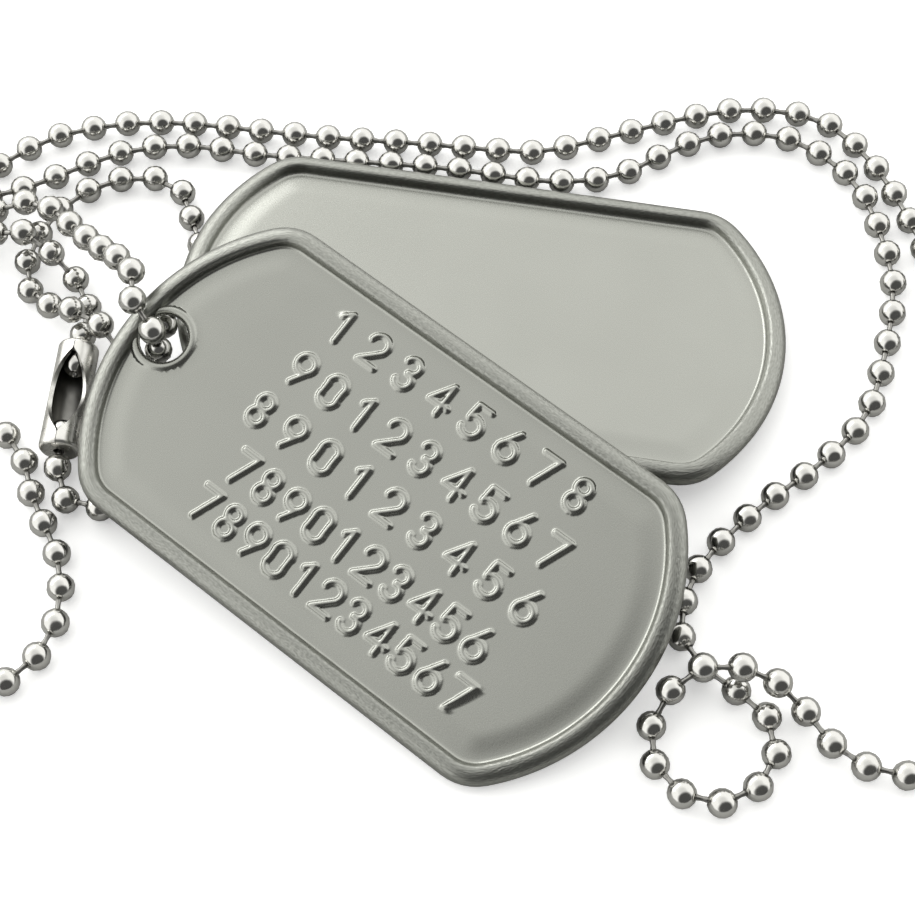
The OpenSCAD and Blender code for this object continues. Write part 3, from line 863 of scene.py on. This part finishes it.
def make_chain(name, first, last):
    """Balls first to last, each with the pin that joins it to the next one. Where the next ball is
    further off than the pitch, the pin's far half moves out with it."""
    before = np.concatenate([2 * balls[:1] - balls[1:2], balls[:-1]])[first:last + 1]
    ball_axes = axes_towards(before - balls[first:last + 1])
    ends = min(last + 1, len(balls) - 1)
    ahead = balls[first + 1:ends + 1] - balls[first:ends]
    away = np.linalg.norm(ahead, axis=1)[:, None]
    shapes = [
        copies(ball_points, ball_quads, ball_fans, ball_axes, balls[first:last + 1]),
        copies(pin_points, pin_quads, pin_fans, axes_towards(ahead), balls[first:ends]),
    ]
    far_half = np.tile(pin_points[:, 2] > BALL_PITCH / 2, len(ahead))
    spare = ahead / away * (away - BALL_PITCH)
    shapes[1][0][far_half] += np.repeat(spare, len(pin_points), axis=0)[far_half]
    points = np.concatenate([shape[0] for shape in shapes])
    quads, fans = (np.concatenate([shapes[0][k], shapes[1][k] + len(shapes[0][0])]) for k in (1, 2))
    kinds = np.repeat([0, 1, 0, 1], [len(shape[k]) for k in (1, 2) for shape in shapes])
    chain = make_piece(name, points * MM, quads, fans, [ball_steel, wire_steel], kinds)
    print(f"{name}: {last - first + 1} balls, {2 * len(quads) + len(fans)} triangles")
    return chain


half_way = len(balls) // 2
far_chain = make_chain("far_ball_chain", 0, half_way - 1)
near_chain = make_chain("near_ball_chain", half_way, len(balls) - 1)

# %% [markdown]
# The connector is a strip folded into a sleeve round the chain's two end balls. Its edges meet in
# a fine seam on top and spread to a leaf-shaped window in the middle, where the end balls are
# pressed in. So its cross-section is an open ring all the way along: only the width of the
# opening and the radius change. Outside and inside are two such rings, joined at their edges. On
# the real one the edges have sprung a little apart, so the window is flared by 15 percent.

# %% The folded sleeve
SEAM_HALF = 0.03
FOLD_RAD, FOLD_IN_RAD = 0.35, 0.08
WINDOW_FLARE = 1.15
FOLD_STEPS, WALL_STEPS, BODY_STEPS, RING_STEPS = 6, 4, 61, 37
SLEEVE_CREASE = 50


def sleeve_meridian(half, radius, end_rad):
    """(place along the sleeve, radius) from the notch in one end wall, round the fold, along the
    body and down the other end wall."""
    fold = np.radians(np.linspace(180, 90, FOLD_STEPS))
    bend_x = -half + end_rad + end_rad * np.cos(fold)
    bend_r = radius - end_rad + end_rad * np.sin(fold)
    wall_r = np.linspace(NOTCH_R, radius - end_rad, WALL_STEPS, endpoint=False)
    wall = np.stack([np.full(WALL_STEPS, -half), wall_r], axis=1)
    left = np.concatenate([wall, np.stack([bend_x, bend_r], axis=1)])
    body = np.linspace(-half + end_rad, half - end_rad, BODY_STEPS)[1:-1]
    middle = np.stack([body, np.full(len(body), radius)], axis=1)
    return np.concatenate([left, middle, left[::-1] * [-1, 1]])


def open_rings(half, radius, end_rad):
    """For each step along the sleeve, a ring from one edge of the window round to the other. The
    window is two equal arcs that meet in points, and the strip's edges stand square to it."""
    x, r = sleeve_meridian(half, radius, end_rad).T
    leaf_r = (WINDOW_LEN**2 + WINDOW_WID**2) / (4 * WINDOW_WID)
    leaf = np.sqrt(np.maximum(leaf_r**2 - x**2, 0)) - leaf_r + WINDOW_WID / 2
    open_half = np.maximum(WINDOW_FLARE * leaf / SLEEVE_R, SEAM_HALF / r)
    edge = np.arcsin(np.clip(open_half, 0, 1))[:, None]
    angle = edge + (2 * np.pi - 2 * edge) * np.linspace(0, 1, RING_STEPS)[None]
    along = np.broadcast_to(x[:, None], angle.shape)
    return np.stack([along, r[:, None] * np.sin(angle), r[:, None] * np.cos(angle)], axis=-1)


def make_sleeve():
    """The outer and the inner rings as one skin, laid along the line between the end balls."""
    start, end = ROUTE[0] - MIDDLE, ROUTE[-1] - MIDDLE
    half_in = np.linalg.norm(end - start) / 2 + SLEEVE_IN_R
    outer = open_rings(half_in + (SLEEVE_R - SLEEVE_IN_R), SLEEVE_R, FOLD_RAD)
    inner = open_rings(half_in, SLEEVE_IN_R, FOLD_IN_RAD)
    loop = np.concatenate([outer, inner[:, ::-1]], axis=1)
    steps, round_loop = loop.shape[:2]
    number = np.arange(steps * round_loop).reshape(steps, round_loop)
    skin = grid_quads(number, wrap=True)[:, ::-1]
    ends = [grid_quads(np.stack([n[:RING_STEPS], n[:RING_STEPS - 1:-1]]))
            for n in (number[0], number[-1])]
    ends[0] = ends[0][:, ::-1]
    column = np.tile(np.arange(round_loop), steps - 1)
    # The inner faces take the second material, the darker grey that paints shade inside the sleeve.
    inside = (column >= RING_STEPS) & (column < round_loop - 1)
    kinds = np.concatenate([inside, np.zeros(2 * len(ends[0]), bool)])
    way = math.atan2(end[1] - start[1], end[0] - start[0])
    turn = np.array([[math.cos(way), -math.sin(way), 0],
                     [math.sin(way), math.cos(way), 0], [0, 0, 1]])
    points = loop.reshape(-1, 3) @ turn.T + (start + end) / 2
    return make_piece("folded_sleeve", points * MM, np.concatenate([skin, *ends]), NO_TRIANGLES,
                      [sleeve_steel, painted_shade_inside_steel], kinds)


sleeve = make_sleeve()
sharpen(sleeve.data, SLEEVE_CREASE)
print("sleeve faces:", len(sleeve.data.polygons))

# %% [markdown]
# Before the pieces are handed over, each is checked for closed seams and outward faces: every edge
# must join two faces, and the signed volume must be positive.

# %% Check that each skin is closed and faces outwards
def closed_volume(piece):
    """Edges that don't join two faces, and the signed volume in cubic millimetres."""
    work = bmesh.new()
    work.from_mesh(piece.data)
    open_edges = sum(not edge.is_manifold for edge in work.edges)
    volume = work.calc_volume(signed=True) / MM**3
    work.free()
    return open_edges, round(volume, 1)


for piece in (front, second, far_chain, near_chain, sleeve):
    print(piece.name, "open edges and volume:", closed_volume(piece))

# %% [markdown]
# Each new skin stands for its CAD node, which stays in the physics model but isn't shown. The part
# has no joints, so everything rides on the one body, root.

# %% Hand the pieces over
for piece, node, slot in (
        (front, "front_tag", "tag_steel"), (second, "second_tag", "tag_steel"),
        (far_chain, "chain_far", "chain_steel"), (near_chain, "chain_near", "chain_steel"),
        (sleeve, "chain_connector", "connector_steel")):
    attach(piece, "root")
    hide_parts(node)

# %% [markdown]
# The surface is plain pale card. Steel has no colour of its own to speak of: it shows the room. So
# the light is the picture. A bright tent stands behind, above and beside the tags, the side where
# the photographer stands is dark, and two softboxes give the bright lines on the rolled rims.

# %% Pale surface
FLOOR_HALF_MM = 900.0
FIBRE_MM = 0.6
GLOW = 0.4
CARD_ROUGH = 0.9
CARD_SHINE = 0.1


def pale_card():
    """White card on a light table: to the camera it glows a little, which keeps the shadows faint.
    In the steel's reflections it is painted mid grey, a painted dim reflection of the card, as in the
    photograph, whose surface was whitened."""
    material, tree, shader = new_material("pale_card")
    place = add_node(tree, "ShaderNodeTexCoord").outputs["Object"]
    tone = mix(tree, noise(tree, place, per_mm(FIBRE_MM)), linear("#F6F6F5"), linear("#FAFAF9"))
    ray = add_node(tree, "ShaderNodeLightPath")
    # Glossy rays see a painted grey: a painted dim reflection of the card in the steel.
    tone_painted_grey_in_reflections = mix(tree, ray.outputs["Is Glossy Ray"], tone, linear("#BABAB8"))
    glow = arithmetic(tree, "MULTIPLY", ray.outputs["Is Camera Ray"], GLOW)
    tree.links.new(tone_painted_grey_in_reflections, shader.inputs["Base Color"])
    tree.links.new(glow, shader.inputs["Emission Strength"])
    shader.inputs["Emission Color"].default_value = linear("#FFFFFF")
    shader.inputs["Metallic"].default_value = 0.0
    shader.inputs["Roughness"].default_value = CARD_ROUGH
    shader.inputs["Specular IOR Level"].default_value = CARD_SHINE
    return material


corners = FLOOR_HALF_MM * np.array([[-1, -1, 0], [1, -1, 0], [1, 1, 0], [-1, 1, 0]])
floor = make_piece("pale_surface", corners * MM, np.array([[0, 1, 2, 3]]), NO_TRIANGLES,
                   [pale_card()])
print("surface:", floor.name, round(2 * FLOOR_HALF_MM), "mm wide")

# %% Light
TENT_LEVEL = 1.6
ZENITH_LEVEL = 1.15
FRONT_LEVEL = 0.11
BACKDROP_LEVEL = 0.97
ZENITH_RANGE = (0.7, 1.0)
FRONT_WAY = (0.28, -0.82, 0.46)
PATCH_DEG = (62, 41)
SOFTBOXES = [
    ("back_softbox", (-0.3, 0.5, 0.4), (0.5, 0.22), 3.0),
    ("left_softbox", (-0.55, 0.25, 0.3), (0.35, 0.2), 2.4),
]


def light_tent():
    """World light by direction: a level that falls towards the zenith, and a dark round patch at
    the front right, 28 degrees up, that fades out between the angles PATCH_DEG from its middle. The
    camera itself sees a plain pale backdrop."""
    world = bpy.data.worlds.new("light_tent")
    world.use_nodes = True
    tree = world.node_tree
    tree.nodes.clear()
    way = add_node(tree, "ShaderNodeTexCoord").outputs["Generated"]
    facing = add_node(tree, "ShaderNodeVectorMath", {"operation": "DOT_PRODUCT"}, {
        0: way, 1: Vector(FRONT_WAY).normalized()})
    patch = [math.cos(math.radians(angle)) for angle in PATCH_DEG]
    lit = remap(tree, facing.outputs["Value"], patch, (1.0, 0.0), "SMOOTHSTEP")
    height = add_node(tree, "ShaderNodeSeparateXYZ", inputs={"Vector": way}).outputs["Z"]
    level = remap(tree, height, ZENITH_RANGE, (TENT_LEVEL, ZENITH_LEVEL), "SMOOTHSTEP")
    tent = remap(tree, lit, UNIT, (FRONT_LEVEL, level))
    ray = add_node(tree, "ShaderNodeLightPath").outputs["Is Camera Ray"]
    shine = add_node(tree, "ShaderNodeBackground", inputs={
        "Color": linear("#FFFFFD"), "Strength": mix(tree, ray, tent, BACKDROP_LEVEL, "FLOAT")})
    add_node(tree, "ShaderNodeOutputWorld", inputs={"Surface": shine.outputs["Background"]})
    bpy.context.scene.world = world


def softbox(name, place, size, level):
    """A rectangular lamp that faces the part, its place and size in metres. Its power follows from
    the level it should show: power = pi * level * area."""
    lamp = bpy.data.lights.new(name, "AREA")
    lamp.shape = "RECTANGLE"
    lamp.size, lamp.size_y = size
    lamp.energy = math.pi * level * size[0] * size[1]
    box = bpy.data.objects.new(name, lamp)
    box.location = place
    box.rotation_euler = (-Vector(place)).to_track_quat("-Z", "Y").to_euler()
    bpy.context.scene.collection.objects.link(box)


light_tent()
for box in SOFTBOXES:
    softbox(*box)
bpy.context.scene.view_settings.view_transform = "Standard"
print("light: a tent,", ", ".join(box[0] for box in SOFTBOXES))
